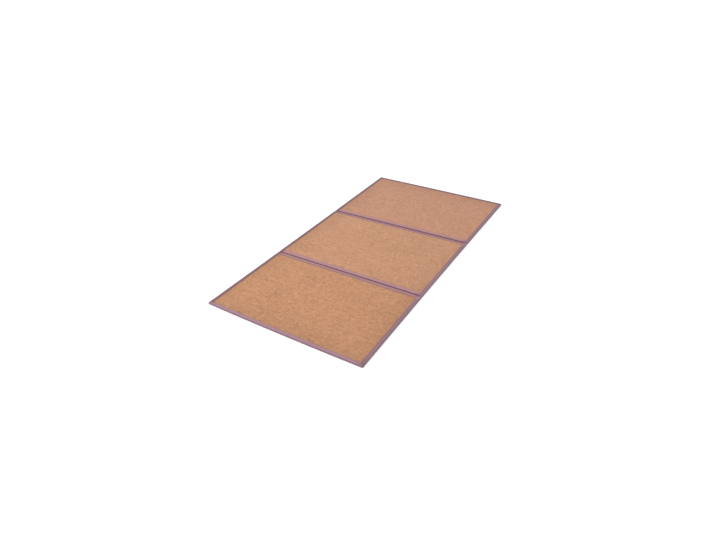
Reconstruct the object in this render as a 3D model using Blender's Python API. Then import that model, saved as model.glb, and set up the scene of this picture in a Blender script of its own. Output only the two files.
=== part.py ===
"""A folding tatami mat lying open: three woven rush panels, a cloth binding
round the outline and a creased ribbon, above and below, at each of the two folds.

Metres, +Z up. The mat is long in Y, wide in X and rests on Z = 0. The origin is
under the middle of the mat. Front is -Y, back is +Y, left is -X, right is +X.
"""
import math
from collections import namedtuple

import bmesh
import bpy

# Whole mat
MAT_NAME = "tatami_mat"
MAT_WIDTH = 0.900
MAT_LENGTH = 1.800
PANEL_LENGTH = MAT_LENGTH / 3
RUSH_THICKNESS = 0.0080
CORNER_RADIUS = 0.006

# Cloth of the binding and the ribbons
CLOTH = 0.0010
GAP = 0.0003
PROUD = 0.0004
TAPE_WIDTH = 0.020
EDGE_ROUND = 0.0034
EDGE_ROUND_STEPS = 3
MITRE_GAP = 0.75 * GAP

# Rush is squeezed thin where cloth covers it, over this width beside the cloth
SQUEEZE_RAMP = 0.012

# Spacing of the stations along straight stretches
COARSE_STEP = 0.150

# How far each side of the outline bows outward at its middle
BOW_FRONT = 0.004
BOW_BACK = 0.002
BOW_LEFT = -0.002
BOW_RIGHT = -0.003

# A fold: the place of its crease in Y at the middle, how far the crease slants toward
# the back for each metre to the right, the half width of its furrow, how far its
# ribbon reaches over the panels to the front and to the back, and how far the
# outline is pinched in at its ends
Fold = namedtuple("Fold", "name crease slant half_furrow front_reach back_reach pinch")
FOLDS = (
    Fold("near", -0.3136, 0.0135, 0.0070, 0.026, 0.028, 0.0015),
    Fold("far", 0.2918, 0.0265, 0.0110, 0.026, 0.030, 0.0020),
)

# The slant of a crease fades out over this distance to both sides of it
SLANT_REACH = 0.290

# Stations across a furrow, as shares of its half width. The rush ends at the
# second one, so the panels' ends fill the furrow's rounded shoulders.
FURROW_SHARES = (0.0, 0.5, 0.75, 1.0)

# The side tapes sink at a fold by this share of the furrow's depth
TAPE_SINK_SHARE = 0.35

# Heights that follow
CLOTH_TOP = RUSH_THICKNESS + PROUD
LAYER = CLOTH + GAP
HALF_WIDTH = MAT_WIDTH / 2
HALF_LENGTH = MAT_LENGTH / 2
FRONT_SHIFT = (BOW_FRONT - BOW_BACK) / 2
RUSH_EDGE_INSETS = (LAYER, EDGE_ROUND, CORNER_RADIUS)
RIBBON_END_INSETS = (EDGE_ROUND, CORNER_RADIUS)

# Materials, as linear colour and roughness
RUSH_COLOUR = (0.565, 0.301, 0.184)
RUSH_ROUGHNESS = 0.62
CLOTH_COLOUR = (0.445, 0.246, 0.296)
CLOTH_ROUGHNESS = 0.85


def spread(start, end, longest_step):
    """Evenly spaced values from start to end, both included."""
    steps = max(1, math.ceil(abs(end - start) / longest_step))
    return [start + (end - start) * i / steps for i in range(steps + 1)]


def joined(*stretches):
    """One rising list of stations from several, each value once."""
    values = sorted(value for stretch in stretches for value in stretch)
    kept = values[:1]
    for value in values[1:]:
        if value - kept[-1] > 1e-6:
            kept.append(value)
    return kept


def fold_at(y):
    """The fold whose crease is nearest to y."""
    return min(FOLDS, key=lambda fold: abs(y - fold.crease))


def ramp(distance, covered_to):
    """1 under cloth that covers the rush up to covered_to, falling to 0 beside it."""
    beyond = distance - covered_to
    return min(1.0, max(0.0, 1.0 - beyond / (SQUEEZE_RAMP - GAP)))


def side_cover(x):
    """1 under the left or right tape, 0 in the field."""
    return ramp(HALF_WIDTH - abs(x), TAPE_WIDTH + GAP)


def end_cover(y):
    """1 under the front or back tape, 0 in the field."""
    return ramp(HALF_LENGTH - abs(y), TAPE_WIDTH + GAP)


def ribbon_reach(y):
    """How far the ribbon of the nearest fold reaches on y's side of the crease."""
    fold = fold_at(y)
    return fold.front_reach if y < fold.crease else fold.back_reach


def ribbon_cover(y):
    """1 under the ribbon of a fold, 0 in the field."""
    return ramp(abs(y - fold_at(y).crease), ribbon_reach(y) + GAP)


def furrow_share(y):
    """How far y lies out from the crease, 1 at the furrow's shoulder and beyond."""
    fold = fold_at(y)
    return min(1.0, abs(y - fold.crease) / fold.half_furrow)


def furrow_shape(y):
    """Depth of the furrow at y as a share of its deepest: sharp crease, round shoulders."""
    return 1.0 - math.sin(furrow_share(y) * math.pi / 2)


def furrow_depth(x, y):
    """Deepest reach of the furrow at x: the two ribbons meet there, one gap apart."""
    steepest = steepness(y, CLOTH_TOP / 2)
    lift = 2 * LAYER * side_cover(x)
    return CLOTH_TOP - CLOTH * steepest - LAYER - lift


def steepness(y, depth):
    """Length along the cloth for one unit of Y at the crease of a furrow this deep."""
    slope = depth * math.pi / (2 * fold_at(y).half_furrow)
    return math.hypot(1.0, slope)


def ribbon_top(x, y):
    """Upper face of a fold's top ribbon."""
    return CLOTH_TOP - LAYER * side_cover(x) - furrow_depth(x, y) * furrow_shape(y)


def ribbon_underside(x, y):
    """Lower face of a fold's top ribbon, thicker in Z where the cloth is steep."""
    depth = furrow_depth(x, y) * math.cos(furrow_share(y) * math.pi / 2)
    return ribbon_top(x, y) - CLOTH * steepness(y, depth)


def edge_height(x, y):
    """Height up to which the rush's edge is cut back, above and below, inside the tape."""
    inset = min(HALF_WIDTH - abs(x), HALF_LENGTH - abs(y))
    return EDGE_ROUND - (inset - LAYER)


def rush_top(x, y):
    """Upper face of the rush: level in the field, lower under one or two cloths."""
    tape = max(side_cover(x), end_cover(y))
    ribbon = ribbon_cover(y)
    if ribbon == 1.0:
        height = ribbon_underside(x, y) - GAP
    else:
        height = RUSH_THICKNESS - (LAYER - PROUD) * max(tape, ribbon) - LAYER * min(tape, ribbon)
    return min(height, CLOTH_TOP - edge_height(x, y))


def rush_underside(x, y):
    """Lower face of the rush: on the floor in the field, lifted over cloth."""
    tape = max(side_cover(x), end_cover(y))
    return max(LAYER * (tape + ribbon_cover(y)), edge_height(x, y))


def tape_sink(y):
    """How far the upper face of a side tape sinks over a furrow."""
    return TAPE_SINK_SHARE * furrow_depth(0.0, y) * furrow_shape(y)


def bow(share):
    """1 at the middle of a side and 0 at its ends, for a share from -1 to 1."""
    return 1.0 - share * share


def slant_shift(x, y):
    """How far the slant of the nearest crease moves a point in Y."""
    fold = fold_at(y)
    return fold.slant * x * max(0.0, 1.0 - abs(y - fold.crease) / SLANT_REACH)


def to_outline(x, y, z):
    """Move a point of the plain rectangle to the mat's own slightly uneven outline."""
    over_x = max(0.0, abs(x) - (HALF_WIDTH - CORNER_RADIUS))
    over_y = max(0.0, abs(y) - (HALF_LENGTH - CORNER_RADIUS))
    if over_x > 0.0 and over_y > 0.0:
        pull = 1.0 - max(over_x, over_y) / math.hypot(over_x, over_y)
        x -= math.copysign(over_x * pull, x)
        y -= math.copysign(over_y * pull, y)
    side_bow = BOW_RIGHT if x > 0 else BOW_LEFT
    end_bow = BOW_BACK if y > 0 else BOW_FRONT
    pinch = fold_at(y).pinch * furrow_shape(y)
    side_shift = (side_bow * bow(y / HALF_LENGTH) - pinch) * x / HALF_WIDTH
    end_weight = max(0.0, 1.0 - (HALF_LENGTH - abs(y)) / PANEL_LENGTH)
    end_shift = math.copysign(1.0, y) * end_bow * bow(x / HALF_WIDTH) * end_weight
    y_shift = end_shift + slant_shift(x, y) + FRONT_SHIFT
    return (x + side_shift, y + y_shift, z)


def bent_slab(name, across, along, place, material):
    """Make a closed slab, one cell thick, on two lists of stations, and bend it by place."""
    columns = len(across) - 1
    rows = len(along) - 1
    slab = bmesh.new()
    bmesh.ops.create_grid(slab, x_segments=columns, y_segments=rows, size=0.5)
    lifted = bmesh.ops.extrude_face_region(slab, geom=slab.faces[:])
    for element in lifted["geom"]:
        if isinstance(element, bmesh.types.BMVert):
            element.co.z = 1.0
    for vertex in slab.verts:
        column = round((vertex.co.x + 0.5) * columns)
        row = round((vertex.co.y + 0.5) * rows)
        outer = vertex.co.z > 0.5
        vertex.co = to_outline(*place(across[column], along[row], outer))
    bmesh.ops.recalc_face_normals(slab, faces=slab.faces[:])
    mesh = bpy.data.meshes.new(name)
    slab.to_mesh(mesh)
    slab.free()
    mesh.materials.append(material)
    mesh.shade_smooth()
    mesh.set_sharp_from_angle(angle=math.radians(40))
    piece = bpy.data.objects.new(name, mesh)
    bpy.data.collections[MAT_NAME].objects.link(piece)
    return piece


def stations_across(insets):
    """Stations from left to right, with those of the tapes' inner edges and the given ones."""
    insets = (*insets, TAPE_WIDTH + GAP)
    field = HALF_WIDTH - TAPE_WIDTH - SQUEEZE_RAMP
    half = joined([HALF_WIDTH - inset for inset in insets], spread(field, 0.0, COARSE_STEP))
    return joined([-value for value in half], half)


def stations_over_fold(fold):
    """Stations across a fold, from one edge of its ribbon to the other."""
    furrow = [fold.half_furrow * share for share in FURROW_SHARES]
    front = [fold.crease - value for value in furrow]
    back = [fold.crease + value for value in furrow]
    edges = [fold.crease - fold.front_reach, fold.crease + fold.back_reach]
    return joined(edges, front, back)


def stations_beside_fold(fold, toward):
    """Stations of a panel's end at a fold, which lies toward -1 or +1 of the panel."""
    reach = fold.back_reach if toward < 0 else fold.front_reach
    furrow = [fold.half_furrow * share for share in FURROW_SHARES[1:]]
    offsets = furrow + [reach + GAP, reach + SQUEEZE_RAMP]
    return [fold.crease - toward * offset for offset in offsets]


def stations_at_outer_end(toward):
    """Stations of a panel's end at the front, toward -1, or at the back, toward +1."""
    insets = (*RUSH_EDGE_INSETS, TAPE_WIDTH + GAP, TAPE_WIDTH + SQUEEZE_RAMP)
    return [toward * (HALF_LENGTH - inset) for inset in insets]


def make_panel(name, front_end, back_end, material):
    """A rush panel between two lists of end stations."""
    field = spread(max(front_end), min(back_end), COARSE_STEP)
    along = joined(front_end, field, back_end)

    def place(x, y, outer):
        return (x, y, rush_top(x, y) if outer else rush_underside(x, y))

    return bent_slab(name, stations_across(RUSH_EDGE_INSETS), along, place, material)


def make_top_ribbon(fold, material):
    """The ribbon on top of a fold, laid over both panels and down into the furrow."""
    def place(x, y, outer):
        return (x, y, ribbon_top(x, y) if outer else ribbon_underside(x, y))

    name = f"fold_ribbon_{fold.name}_top"
    across = stations_across(RIBBON_END_INSETS)
    return bent_slab(name, across, stations_over_fold(fold), place, material)


def make_under_ribbon(fold, material):
    """The flat ribbon under a fold, lifted at its ends over the side tapes."""
    along = [fold.crease - fold.front_reach, fold.crease, fold.crease + fold.back_reach]

    def place(x, y, outer):
        return (x, y, LAYER * side_cover(x) + (CLOTH if outer else 0.0))

    name = f"fold_ribbon_{fold.name}_under"
    return bent_slab(name, stations_across(RIBBON_END_INSETS), along, place, material)


def tape_section():
    """Section of a tape folded round the edge: rows of inset, height and inward normal."""
    section = [(TAPE_WIDTH, CLOTH_TOP, 0.0, -1.0)]
    centres = (CLOTH_TOP - EDGE_ROUND, EDGE_ROUND)
    for centre, first_angle in zip(centres, (90, 180)):
        for step in range(EDGE_ROUND_STEPS + 1):
            angle = math.radians(first_angle + 90 * step / EDGE_ROUND_STEPS)
            out, up = math.cos(angle), math.sin(angle)
            section.append((EDGE_ROUND * (1 + out), centre + EDGE_ROUND * up, -out, -up))
    section.append((TAPE_WIDTH, 0.0, 0.0, 1.0))
    return section


def tape_point(section_row, outer):
    """Inset and height of a point on the tape's outer or inner face."""
    inset, height, normal_in, normal_up = section_row
    depth = 0.0 if outer else CLOTH
    return inset + depth * normal_in, height + depth * normal_up


def mitred(station, half_side, inset):
    """Shorten the last stretch of a tape so that it ends on the corner's mitre."""
    start = half_side - TAPE_WIDTH - SQUEEZE_RAMP
    beyond = abs(station) - start
    if beyond <= 0.0:
        return station
    room = half_side - inset - MITRE_GAP - start
    return math.copysign(start + beyond * room / (half_side - start), station)


def tape_stations(half_side, extra):
    """Stations along one side of the mat, close together at the rounded corners."""
    start = half_side - TAPE_WIDTH - SQUEEZE_RAMP
    end = joined([start], spread(half_side - CORNER_RADIUS, half_side, CORNER_RADIUS / 2))
    return joined([-value for value in end], end, spread(-start, start, COARSE_STEP), extra)


def make_side_tape(name, side, material):
    """The tape along the left side, -1, or the right side, +1, sunk at the folds."""
    fold_stations = joined(*(stations_over_fold(fold) for fold in FOLDS))

    def place(section_row, y, outer):
        inset, height = tape_point(section_row, outer)
        upper_share = min(1.0, max(0.0, (height - CLOTH) / (CLOTH_TOP - 2 * CLOTH)))
        x = side * (HALF_WIDTH - inset)
        return (x, mitred(y, HALF_LENGTH, inset), height - tape_sink(y) * upper_share)

    along = tape_stations(HALF_LENGTH, fold_stations)
    return bent_slab(name, tape_section(), along, place, material)


def make_end_tape(name, side, material):
    """The tape along the front, -1, or the back, +1."""
    def place(section_row, x, outer):
        inset, height = tape_point(section_row, outer)
        return (mitred(x, HALF_WIDTH, inset), side * (HALF_LENGTH - inset), height)

    return bent_slab(name, tape_section(), tape_stations(HALF_WIDTH, []), place, material)


def make_material(name, colour, roughness):
    """A plain matt material."""
    material = bpy.data.materials.new(name)
    material.use_nodes = True
    shader = material.node_tree.nodes["Principled BSDF"]
    shader.inputs["Base Color"].default_value = (*colour, 1.0)
    shader.inputs["Roughness"].default_value = roughness
    shader.inputs["Metallic"].default_value = 0.0
    return material


def make_mat():
    """Build every piece of the mat into its own collection."""
    collection = bpy.data.collections.new(MAT_NAME)
    bpy.context.scene.collection.children.link(collection)
    rush = make_material("rush_weave", RUSH_COLOUR, RUSH_ROUGHNESS)
    cloth = make_material("binding_cloth", CLOTH_COLOUR, CLOTH_ROUGHNESS)

    near, far = FOLDS
    make_panel("panel_near", stations_at_outer_end(-1), stations_beside_fold(near, 1), rush)
    middle_front = stations_beside_fold(near, -1)
    make_panel("panel_middle", middle_front, stations_beside_fold(far, 1), rush)
    make_panel("panel_far", stations_beside_fold(far, -1), stations_at_outer_end(1), rush)
    for fold in FOLDS:
        make_top_ribbon(fold, cloth)
        make_under_ribbon(fold, cloth)
    make_end_tape("tape_front", -1, cloth)
    make_end_tape("tape_back", 1, cloth)
    make_side_tape("tape_left", -1, cloth)
    make_side_tape("tape_right", 1, cloth)


for leftover in list(bpy.data.objects):
    bpy.data.objects.remove(leftover)
make_mat()
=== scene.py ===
"""Looks of the folding tatami mat: ribbed rush panels, a cloth tape folded round the
outline, creased ribbons at the two folds, and the stitches that hold the cloth.

Metres, +Z up. Front is -Y, back is +Y, left is -X, right is +X.
"""
import math
from collections import namedtuple

import bmesh
import bpy
import numpy as np
from mathutils import Matrix, Vector


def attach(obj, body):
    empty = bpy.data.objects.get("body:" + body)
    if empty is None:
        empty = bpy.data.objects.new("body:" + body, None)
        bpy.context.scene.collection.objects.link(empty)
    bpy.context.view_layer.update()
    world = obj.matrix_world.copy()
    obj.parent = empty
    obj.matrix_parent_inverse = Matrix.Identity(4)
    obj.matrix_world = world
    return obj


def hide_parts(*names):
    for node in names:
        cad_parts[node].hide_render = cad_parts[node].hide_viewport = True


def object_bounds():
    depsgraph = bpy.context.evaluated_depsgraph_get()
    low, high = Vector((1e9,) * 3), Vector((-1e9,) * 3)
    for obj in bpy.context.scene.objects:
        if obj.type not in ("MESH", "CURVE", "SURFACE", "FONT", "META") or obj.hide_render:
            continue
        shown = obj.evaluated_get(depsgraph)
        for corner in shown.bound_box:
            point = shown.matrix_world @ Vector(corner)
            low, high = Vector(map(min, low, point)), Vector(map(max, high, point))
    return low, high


bl_info = {
    "name": "Folding tatami mat",
    "version": (1, 0, 0),
    "blender": (4, 5, 0),
    "location": "3D View > Sidebar > Mat",
    "description": "Builds a folding tatami mat with rush panels, bound edges and sewn folds",
    "category": "Object",
}

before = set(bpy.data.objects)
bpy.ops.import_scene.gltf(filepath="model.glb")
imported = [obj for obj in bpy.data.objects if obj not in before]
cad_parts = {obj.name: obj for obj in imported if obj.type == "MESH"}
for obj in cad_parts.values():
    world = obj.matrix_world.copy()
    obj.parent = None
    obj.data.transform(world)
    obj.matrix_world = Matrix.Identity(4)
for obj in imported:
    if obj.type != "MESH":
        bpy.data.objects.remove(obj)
CAD_LOW, CAD_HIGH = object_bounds()
BODY = "root"

# The plain rectangle that the outline is bowed from
MAT_WIDTH = 0.900
MAT_LENGTH = 1.800
HALF_WIDTH = MAT_WIDTH / 2
HALF_LENGTH = MAT_LENGTH / 2
PANEL_LENGTH = MAT_LENGTH / 3
CORNER_RADIUS = 0.006

# How far each side bows outward at its middle
BOW_FRONT = 0.004
BOW_BACK = 0.002
BOW_LEFT = -0.002
BOW_RIGHT = -0.003
FRONT_SHIFT = (BOW_FRONT - BOW_BACK) / 2

# A fold: its crease in Y at the middle, how far the crease slants toward the back for
# each metre to the right, half the width of its furrow, how far its ribbon reaches to
# the front and to the back, and how far the outline is pinched in at its ends
Fold = namedtuple("Fold", "name crease slant half_furrow front_reach back_reach pinch")
FOLDS = (
    Fold("near", -0.3136, 0.0135, 0.0070, 0.026, 0.028, 0.0015),
    Fold("far", 0.2918, 0.0265, 0.0110, 0.026, 0.030, 0.0020),
)

# The slant of a crease fades out over this distance to both sides of it
SLANT_REACH = 0.290

# Heights and widths of the cloth and the rush
RUSH_THICKNESS = 0.0080
CLOTH = 0.0010
GAP = 0.0003
LAYER = CLOTH + GAP
CLOTH_TOP = CAD_HIGH.z
TAPE_WIDTH = 0.020
EDGE_ROUND = 0.0034
SQUEEZE_RAMP = 0.012
TAPE_SINK_SHARE = 0.35

# How much lower the rush's upper face lies under cloth, and the share of cover from
# which its ribs are pressed flat
UNDER_CLOTH = 0.0009
RIBS_PRESSED_FROM = 0.375

# Painted shade: how light the copy of the cloth on each side is painted for the way light
# falls on it, as a share of the cloth's colour, as in the photo
CLOTH_SIDE_SHADES = {"front": 1.0, "right": 0.74, "back": 0.62, "left": 0.57}

# The rush is darker beside the tapes, by this share and out to about this distance
EDGE_DARKENING = 0.11
EDGE_DARKENING_REACH = 0.085

# The attribute and the map that the materials read. The attribute darkens colours, with
# painted shade on the cloth's creases, seams, hems and rolled edges, and below zero it
# lightens them as a painted highlight
SHADE = "shade"
WEAVE_MAP = "weave_metres"

# Stations in from a hem, close together at its rounding and at its stitches
RIBBON_HEM = (0.0, 0.0004, 0.001, 0.0018, 0.0026, 0.003, 0.0034, 0.0042, 0.0055, 0.008, 0.012)
UNDER_HEM = (0.0, 0.0005, 0.0012, 0.0026, 0.003, 0.0034, 0.005)
TAPE_HEM = (0.0, 0.0003, 0.0009, 0.0018, 0.0024, 0.003, 0.0036, 0.0044, 0.006)

# Longest steps between stations
RUSH_STEP = 0.0105
RIBBON_STEP = 0.003
UNDER_STEP = 0.012
TAPE_STEP = 0.0034
TAPE_END_STEP = 0.004
CORNER_STEP = 0.001
SQUEEZE_STEP = 0.002
SEAM_STEP = 0.006
STEPS_IN_A_RIB = 5
SAME_STATION = 1e-5
NO_LENGTH = 1e-9

# A band of relief or of darker cloth: its strength on its line, and how wide it spreads
Band = namedtuple("Band", "strength width")
GROOVE = Band(0.00025, 0.0007)
RIBBON_HEM_ROUND = Band(0.00045, 0.0005)
UNDER_HEM_ROUND = Band(0.00035, 0.0005)
TAPE_HEM_ROUND = Band(0.00042, 0.0005)
# Painted shade along a ribbon's seam and hem, beside its crease and most near the tapes, and in the
# under ribbon's crease
RIBBON_SEAM_SHADE = Band(0.45, 0.0011)
RIBBON_HEM_SHADE = Band(0.50, 0.0009)
BESIDE_CREASE_SHADE = Band(0.20, 0.017)
AT_TAPE_SHADE = Band(0.35, 0.014)
UNDER_CREASE_SHADE = Band(0.40, 0.0012)
# Painted shade along a tape's seam and hem
TAPE_SEAM_SHADE = Band(0.40, 0.0011)
TAPE_HEM_SHADE = Band(0.35, 0.0009)
TAPE_CORNER_TONE = Band(0.40, 0.035)
# A painted highlight where a side tape steps over a ribbon's hem
TAPE_PUCKER_HIGHLIGHT = Band(0.60, 0.006)
# Painted shade on a tape's rolled outer edge, wider on the short sides
LONG_ROLL_SHADE = Band(0.42, 0.0032)
SHORT_ROLL_SHADE = Band(0.42, 0.0043)

# Bands beside a crease, as wide as this share of the furrow's half width, and how many
# half widths from the crease a side tape bulges
# Painted shade on a side tape where it passes over a crease
TAPE_CREASE_SHADE = Band(0.55, 0.8)
TAPE_BULGE = Band(0.0006, 0.35)
BULGE_PLACE = 1.5

# A wave in sewn cloth: its height, its length, and what it adds to the piece's seed
Wave = namedtuple("Wave", "height length seed")
RIBBON_CRUMPLE = Wave(0.0005, 0.034, 3)
RIBBON_SWAY = Wave(0.0005, 0.21, 7)
RIBBON_HEM_SWAY = Wave(0.0004, 0.09, 9)
TAPE_PUFF = Wave(0.00022, 0.043, 2)
TAPE_HEM_SWAY = Wave(0.0005, 0.11, 5)

# Parts of a wandering line: share of its wavelength, weight, and turn for each seed
WANDER_PARTS = ((1.0, 0.5, 1.7), (0.618, 0.3, 4.1), (0.377, 0.2, 2.9))

# Gathers along a seam: their length, and how far they reach to both sides of it
Gather = namedtuple("Gather", "length reach")
RIBBON_GATHER = Gather(0.017, 0.004)
TAPE_GATHER = Gather(0.019, 0.005)

# Rush: stations up the wall of a furrow, as shares of its half width
FURROW_SHOULDER = (0.5, 0.65, 0.8, 1.0)

# Top ribbon: stations of its furrow as shares of the half width, first on the floor and
# then up the wall by start, end and longest step
FURROW_FLOOR = (0.0, 0.08, 0.2)
FURROW_WALL = (0.35, 1.0, 0.13)

# Top ribbon: the share of its relief that its underside has, how near its hems the
# crease's sway calms down, and how far in the hems' own sway reaches
UNDERSIDE_SHARE = 0.8
HEM_CALM = 0.004
RIBBON_HEM_SWAY_REACH = 0.006

# Top ribbon: painted shade, how dark its crease is and how slowly that fades outward, and
# how dark its front half is, which faces away from the light
CREASE_SHADE = 1.2
CREASE_SOFTNESS = 0.6
FRONT_HALF_SHADE = 0.20

# Under ribbon: stations beside its crease and beside its ends
BESIDE_CREASE = 0.006
BESIDE_END = 0.0035

# Tape: points of each rolled corner of its section, the longest step on its flanges, and
# half the gap at a mitre
ROLL_POINTS = 6
FLANGE_STEP = 0.0036
MITRE_GAP = 0.0001

# Tape: where its gathers calm down before a corner, how high and over what distances it
# puffs up between seam and edge, and how far in its hem's sway reaches
CORNER_CALM = 0.050
CALM_RAMP = 0.030
PUFF_HEIGHT = 0.0003
PUFF_FROM_SEAM = 0.006
PUFF_FROM_EDGE = 0.008
TAPE_HEM_SWAY_REACH = 0.007

# Tape: the foot of its rolled edge and the share of painted shade there, and how far from
# the edge its inner part begins, where the painted shade of creases and the painted
# highlight at puckers show
ROLL_FOOT = 0.002
ROLL_FOOT_SHARE = 0.6
INNER_FROM = 0.004
INNER_RAMP = 0.008

# Stitches: their share of the pitch, the shortest and the longest as shares of the usual
# one, how high they lie, and how far a row stops before the side tapes or the next row
STITCH_SHARE = 0.74
SHORTEST_STITCH = 0.86
LONGEST_STITCH = 1.08
STITCH_LIFT = 0.0001
FOLD_ROW_STOP = 0.004
EDGE_ROW_STOP = 0.002

# Seeds of the pieces, and from one tape to the next
RUSH_SEED = 1
RIBBON_SEED = 11
FOLD_STITCH_SEED = 21
TAPE_SEED = 31
TAPE_SEED_STEP = 7
EDGE_STITCH_SEED = 41

# Grain of the rush: how much each part of it counts, how far stems drift aside, how many
# waves a metre its noises have across and along the mat, and how round ribs and stems are
GRAIN = {"streak": 0.95, "stem": 0.35, "bunch": 0.50, "run": 0.62, "patch": 0.50}
STEM_DRIFT = 0.0016
DRIFT_WAVES = (9.0, 60.0, 1.0)
STREAK_WAVES = (7.0, 150.0, 1.0)
PATCH_WAVES = (28.0, 42.0, 1.0)
RIB_ROUNDNESS = 0.55
RAISED_RIB_ROUNDNESS = 0.7
STEM_FOOT = 0.45

# Painted shade and light on stems and threads: how light they are from their foot to their
# top; how rough stems are; and how light the painted shade between a thread's strands is
STEM_LIGHT = (0.62, 1.06)
THREAD_LIGHT = (0.86, 1.04)
STEM_ROUGHNESS = (0.46, 0.68)
BETWEEN_STRANDS = 0.6

# Broad and fine patches of fading: waves a metre, detail, and share
FADING_PATCHES = ((3.2, 2.0, 0.6), (38.0, 3.0, 0.4))

# Waves a metre of the cloth's thick and thin threads, along and across it
SLUB_WAVES = (30.0, 900.0, 1.0)
CROSS_WAVES = (900.0, 60.0, 1.0)

# Stage
FLOOR_TONE = (0.97, 0.97, 0.97)
FLOOR_REACH = 30.0
FLOOR_DROP = 0.0002
SURROUND_STRENGTH = 1.05
LAMP_SIZE = 2.4
LAMP_POWER = 42.0
LAMP_PLACE = (-1.6, -0.9, 2.6)

# The photo is 716 pixels wide. The camera was solved from the mat's corners and folds.
PHOTO_WIDTH = 716
FOCAL_PIXELS = 542.9
AXIS_RIGHT_OF_MIDDLE = -22.96
CAMERA_PLACE = (1.3150, -2.3755, 1.6094)
CAMERA_AZIMUTH = math.radians(33.845)
CAMERA_ELEVATION = math.radians(32.944)
CAMERA_ROLL = math.radians(-1.870)
SENSOR_WIDTH = 36.0
FARTHEST_VIEW = 60.0


def length_setting(name, description, default):
    """A length that a user can change."""
    return bpy.props.FloatProperty(name=name, description=description, default=default,
                                   subtype="DISTANCE", unit="LENGTH")


def colour_setting(name, description, default):
    """A colour that a user can change."""
    return bpy.props.FloatVectorProperty(name=name, description=description,
                                         default=default, subtype="COLOR")


class MatSizes(bpy.types.PropertyGroup):
    """Sizes of the fine surface."""

    rib_pitch: length_setting(
        "Rib pitch", "Distance between the lengthwise ribs of the rush", 0.0075)
    rib_height: length_setting(
        "Rib height", "Height of a rib above the warp beside it", 0.00035)
    stem_pitch: length_setting(
        "Stem pitch", "Distance between neighbouring rush stems", 0.0017)
    unevenness: length_setting(
        "Unevenness", "Slow rise and fall of the upper side of the rush", 0.0004)
    thread_pitch: length_setting(
        "Thread pitch", "Distance between the threads of the cloth", 0.0007)
    stitch_pitch: length_setting(
        "Stitch pitch", "Distance from one stitch to the next", 0.0045)
    stitch_width: length_setting(
        "Stitch width", "Thickness of a stitch's thread", 0.0007)
    stitch_inset: length_setting(
        "Stitch inset", "Distance of the stitches from the cloth's edge", 0.0030)
    pucker: length_setting(
        "Pucker", "Height of the small puckers in the sewn cloth", 0.00025)


class MatColours(bpy.types.PropertyGroup):
    """Colours of the rush, the cloth and the thread."""

    rush_near: colour_setting(
        "Near rush", "Colour of the front panel", (0.458, 0.222, 0.110))
    rush_middle: colour_setting(
        "Middle rush", "Colour of the middle panel", (0.467, 0.234, 0.127))
    rush_far: colour_setting(
        "Far rush", "Colour of the back panel", (0.457, 0.226, 0.132))
    cloth: colour_setting(
        "Cloth", "Colour of the tapes", (0.330, 0.190, 0.230))
    # Painted shade: the colour that creases, seams, hems and rolled edges of the cloth are darkened
    # toward
    cloth_shade: colour_setting(
        "Shaded cloth", "Colour of the cloth in creases and at rolled edges",
        (0.120, 0.050, 0.066))
    ribbon: colour_setting(
        "Ribbon", "Colour of the ribbons over and under the folds", (0.385, 0.205, 0.220))
    thread: colour_setting(
        "Thread", "Colour of the sewing thread", (0.270, 0.130, 0.180))


def wander(values, wavelength, seed):
    """A smooth, repeatable wave between about -1 and 1 along values."""
    total = np.zeros_like(values, dtype=float)
    for share, weight, turn in WANDER_PARTS:
        phase = seed * turn + weight * 10
        total += weight * np.sin(2 * math.pi * values / (wavelength * share) + phase)
    return total


def wave(kind, values, seed):
    """Height of one kind of wave along values."""
    return kind.height * wander(values, kind.length, seed + kind.seed)


def hump(distance, width):
    """1 at no distance, falling off to both sides over about the width."""
    return np.exp(-(distance / width) ** 2)


def band(kind, distance):
    """Strength of a band at a distance from its line."""
    return kind.strength * hump(distance, kind.width)


def rim(kind, distance):
    """Strength of a band that fades inward from an edge."""
    return kind.strength * np.exp(-distance / kind.width)


def smooth(share):
    """Ease a share from 0 to 1 in and out."""
    share = np.clip(share, 0.0, 1.0)
    return share * share * (3 - 2 * share)


def fold_values(y, name):
    """One named size of the fold nearest to each y."""
    near, far = FOLDS
    halfway = (near.crease + far.crease) / 2
    return np.where(y < halfway, getattr(near, name), getattr(far, name))


def cover(distance, covered_to):
    """1 under cloth that covers the rush up to covered_to, easing to 0 beside it."""
    return smooth(1.0 - (distance - covered_to) / (SQUEEZE_RAMP - GAP))


def side_cover(x):
    """1 under the left or right tape, 0 in the field."""
    return cover(HALF_WIDTH - np.abs(x), TAPE_WIDTH + GAP)


def end_cover(y):
    """1 under the front or back tape, 0 in the field."""
    return cover(HALF_LENGTH - np.abs(y), TAPE_WIDTH + GAP)


def ribbon_cover(y):
    """1 under the ribbon of a fold, 0 in the field."""
    offset = y - fold_values(y, "crease")
    front, back = fold_values(y, "front_reach"), fold_values(y, "back_reach")
    return cover(np.abs(offset), np.where(offset < 0, front, back) + GAP)


def furrow_share(y):
    """How far y lies out from the nearest crease, 1 at the furrow's shoulder."""
    distance = np.abs(y - fold_values(y, "crease"))
    return np.minimum(1.0, distance / fold_values(y, "half_furrow"))


def furrow_shape(y):
    """Depth of the furrow at y as a share of its deepest."""
    return 1.0 - np.sin(furrow_share(y) * math.pi / 2)


def furrow_depth(x, y):
    """Deepest reach of the furrow at x, less where it passes under a side tape."""
    steep = np.hypot(1.0, CLOTH_TOP / 2 * math.pi / (2 * fold_values(y, "half_furrow")))
    return CLOTH_TOP - CLOTH * steep - LAYER - 2 * LAYER * side_cover(x)


def ribbon_top(x, y):
    """Upper face of a fold's top ribbon, before its fine creases."""
    return CLOTH_TOP - LAYER * side_cover(x) - furrow_depth(x, y) * furrow_shape(y)


def from_ribbon_hem(fold, offset):
    """How far inside its ribbon's hem a point lies, by its offset from the crease."""
    return np.where(offset < 0, fold.front_reach, fold.back_reach) - np.abs(offset)


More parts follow.
